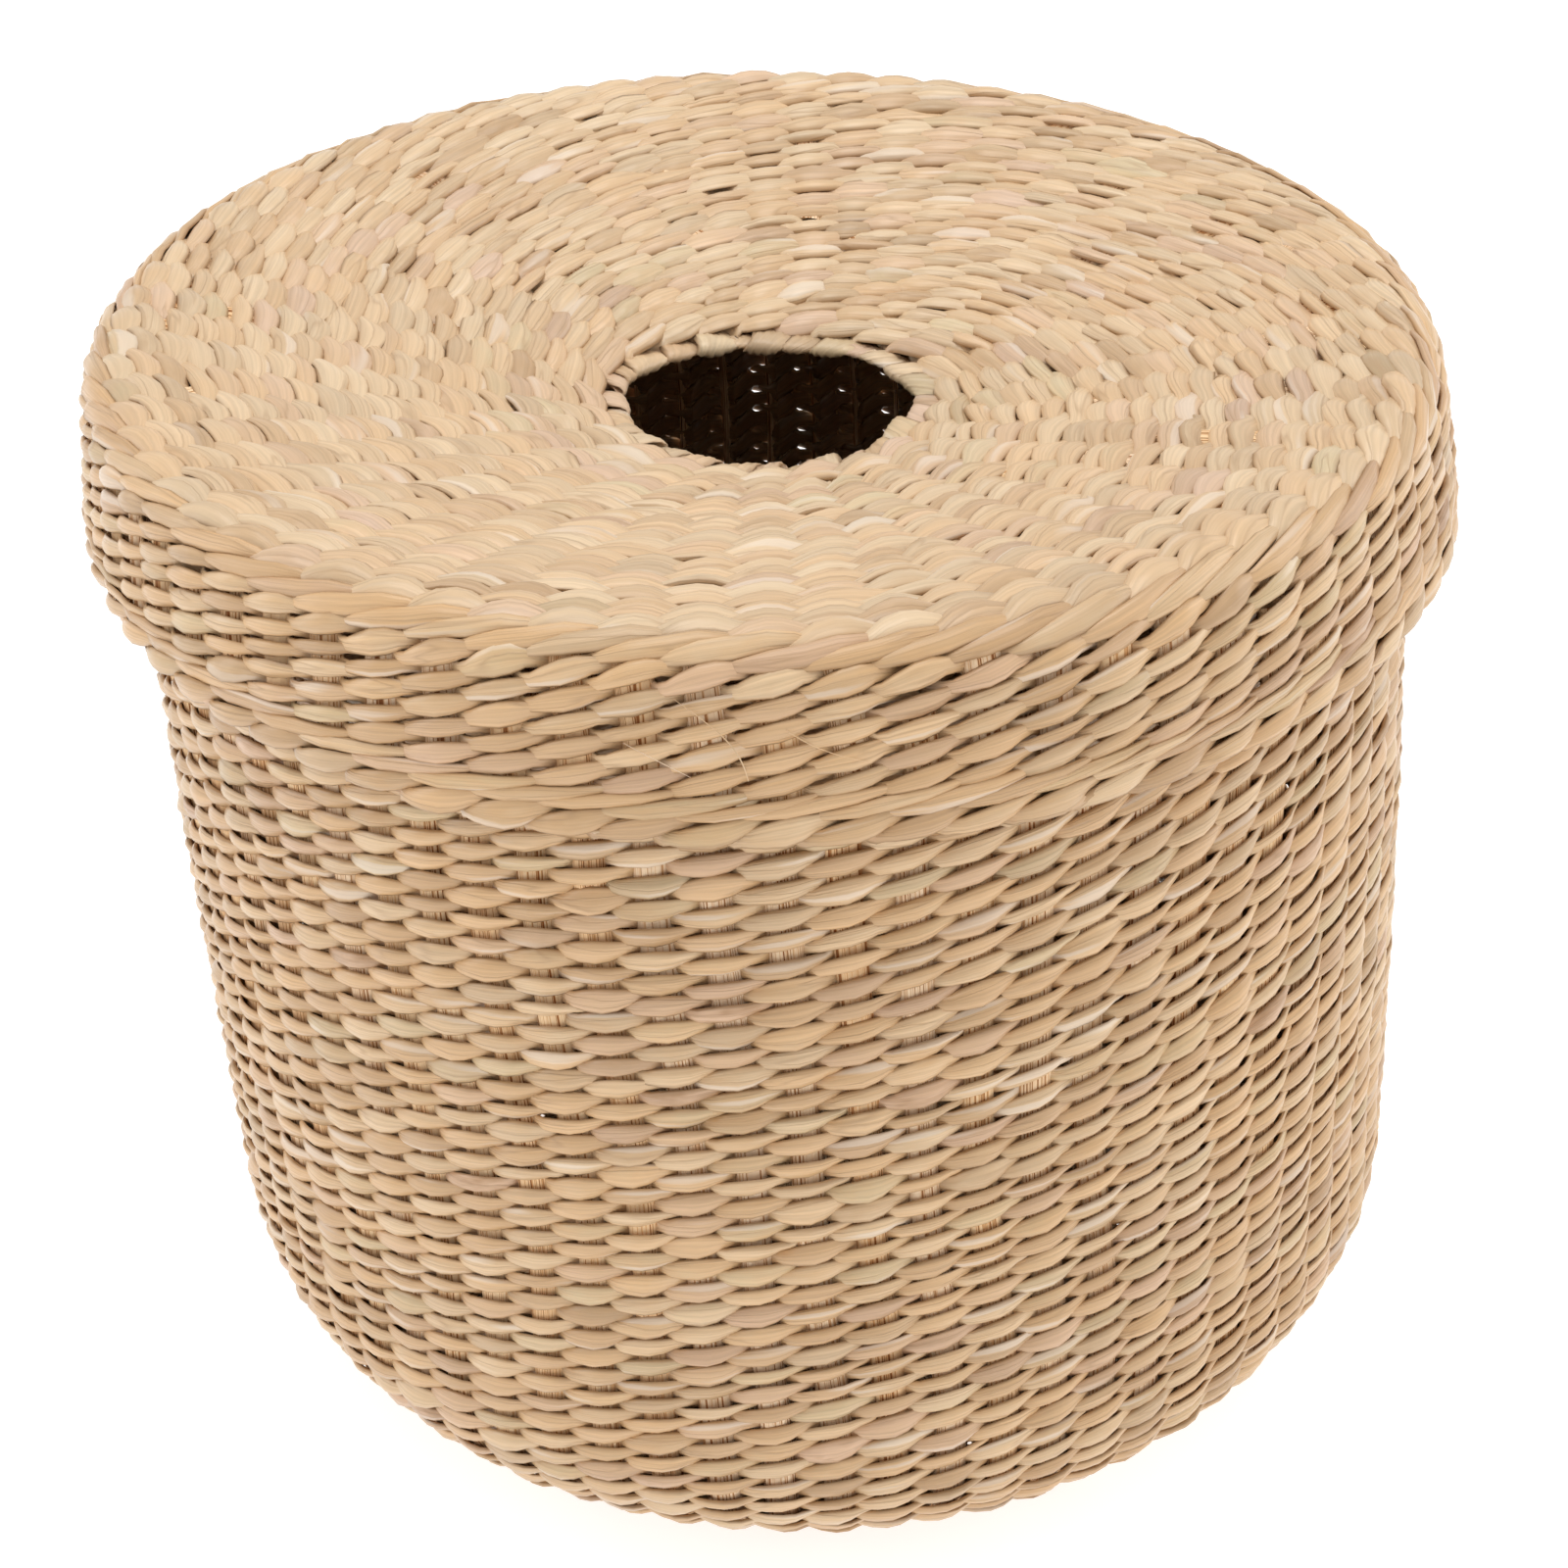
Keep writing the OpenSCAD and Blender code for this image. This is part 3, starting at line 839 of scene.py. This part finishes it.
for part in range(5):
    places = places_of(part, top_first, top_pitch, rounds=4)
    inside = ["lid_top_weft_under"] if part == 0 else []
    woven(f"woven_lid_top_rounds_{part + 1}",
          twining(lid, places, LID_INSERTS, width=5.7 * MM, climb=1.3 * MM, arch=1.2 * MM, pinch=0.7,
                  twist=-0.05, plump=1.7),
          lit_top_look, "lid", "strand", f"lid_top_rounds_{part + 1}", *inside)

# Where loose hairs lie on the front of the skirt: start and end (share of the skirt's height, degrees), bow
FIBRES = [
    ((0.15, -97.0), (0.95, -92.5), 2.5 * MM),
    ((0.45, -89.5), (0.80, -84.0), -1.2 * MM),
    ((0.62, -101.0), (0.92, -96.5), 0.8 * MM),
]


def skirt_rounds(places, fibres):
    """A builder for some of the skirt's rounds, and the loose fibres that lie over them."""
    rounds = twining(lid, places, LID_INSERTS, width=3.5 * MM, climb=1.6 * MM)

    def on_skirt(share, degrees):
        return skirt_first + share * (skirt_last - skirt_first), math.radians(degrees)

    def build(weave):
        rounds(weave)
        for start, end, bow in fibres:
            loose_fibre(weave, lid, on_skirt(*start), on_skirt(*end), bow)
    return build


woven("woven_lid_skirt_rounds_1", skirt_rounds(skirt_places[:3], FIBRES),
      leaf_look, "lid", "strand", "lid_skirt_rounds_1", "lid_skirt_weft_inside")
woven("woven_lid_skirt_rounds_2", skirt_rounds(skirt_places[3:], []),
      leaf_look, "lid", "strand", "lid_skirt_rounds_2")
woven("woven_shoulder_wale",
      waling(lid, shoulder_mid + 0.8 * MM, width=2.9 * MM, reach=REACH, climb=2.1 * MM),
      leaf_look, "lid", "edge_strand", "shoulder_wale")
woven("woven_skirt_wale",
      waling(lid, skirt_wale, width=2.7 * MM, reach=REACH, climb=1.9 * MM),
      leaf_look, "lid", "edge_strand", "skirt_wale")


def skirt_border(weave):
    """The stakes' ends: folded under the edge, then run along it outside like one more round."""
    folded_border(weave, skirt_edge, minor=(1.2 * MM, 1.2 * MM), count=len(wall_stakes), width=5 * MM,
                  wrap=(-3.6, -0.5), span=1.3)
    strand_round(weave, lid, lid.end - 0.2 * MM, wall_stakes, TWINED, strands=2, width=4.2 * MM,
                 reach=REACH, climb=1.5 * MM)


woven("woven_skirt_border", skirt_border, leaf_look, "lid", "edge_strand", "skirt_border")
# The opening's border takes the lid top's paler palette too, as painted light.
woven("woven_opening_border",
      border((opening_r + BORDER_W / 2, opening_z), minor=(2.9 * MM, 0.9 * MM), count=28, width=7.2 * MM,
             wrap=(0.2, 4.2), span=1.4, shingle=0.7 * MM, bulge=0.2 * MM, taper=0.25, ripple=lid.ripple),
      lit_top_look, "lid", "edge_strand", "opening_border")

for part in range(5):
    woven(f"woven_lid_stakes_{part + 1}",
          lambda weave: stake_set(weave, lid, LID_INSERTS, part, opening_r + 2 * MM, lid.end - half_wall),
          stake_look, "lid", "stake", f"lid_stakes_{part + 1}")


# ---------------------------------------------------------------- floor, light and camera

def floor():
    material, _, shader = new_material("pale_floor")
    shader.inputs["Base Color"].default_value = (0.55, 0.55, 0.55, 1)
    shader.inputs["Roughness"].default_value = 0.9
    shader.inputs["Emission Color"].default_value = (1, 1, 1, 1)
    shader.inputs["Emission Strength"].default_value = 0.72
    half = 6.0
    corners = [(-half, -half, 0), (half, -half, 0), (half, half, 0), (-half, half, 0)]
    mesh = bpy.data.meshes.new("floor")
    mesh.from_pydata(corners, [], [(0, 1, 2, 3)])
    mesh.materials.append(material)
    ground = bpy.data.objects.new("floor", mesh)
    bpy.context.scene.collection.objects.link(ground)


def soft_light(name, place, power):
    """A square lamp that faces the basket."""
    light = bpy.data.lights.new(name, "AREA")
    light.shape = "SQUARE"
    light.size = 1.0
    light.energy = power
    lamp = bpy.data.objects.new(name, light)
    bpy.context.scene.collection.objects.link(lamp)
    lamp.location = place
    lamp.rotation_mode = "QUATERNION"
    aim = Vector((0, 0, 0.1)) - Vector(place)
    lamp.rotation_quaternion = aim.to_track_quat("-Z", "Y")


def studio():
    world = bpy.data.worlds.new("studio")
    world.use_nodes = True
    backdrop = world.node_tree.nodes["Background"]
    backdrop.inputs["Color"].default_value = (1, 1, 1, 1)
    backdrop.inputs["Strength"].default_value = 0.72
    bpy.context.scene.world = world
    soft_light("light_top", (0.0, 0.1, 1.6), 8.5)
    soft_light("light_left", (-1.5, 0.1, 0.7), 5)
    soft_light("light_right", (1.5, 0.1, 0.7), 6)


# The camera's angle and roll, its lens (mm, on a 36 mm sensor), and its distance and aim in body radii
ELEVATION, ROLL = math.radians(34.19), -0.0411
LENS = 66.72
DISTANCE = 4.8473
AIM = Vector((-0.0323, 0, 0.8709))


def camera():
    """The basket is seen from the front and above, slightly rolled."""
    size = wall_r + half_wall + 0.7 * MM
    forward = Vector((0, math.cos(ELEVATION), -math.sin(ELEVATION)))
    up = Vector((0, math.sin(ELEVATION), math.cos(ELEVATION)))
    across = Vector((1, 0, 0))
    right = across * math.cos(ROLL) + up * math.sin(ROLL)
    upright = up * math.cos(ROLL) - across * math.sin(ROLL)
    data = bpy.data.cameras.new("camera")
    data.sensor_width = 36
    data.lens = LENS
    eye = bpy.data.objects.new("camera", data)
    bpy.context.scene.collection.objects.link(eye)
    turn = Matrix((right, upright, -forward)).transposed().to_4x4()
    eye.matrix_world = Matrix.Translation((AIM - forward * DISTANCE) * size) @ turn
    bpy.context.scene.camera = eye


floor()
studio()
camera()
bpy.context.scene.view_settings.view_transform = "Standard"
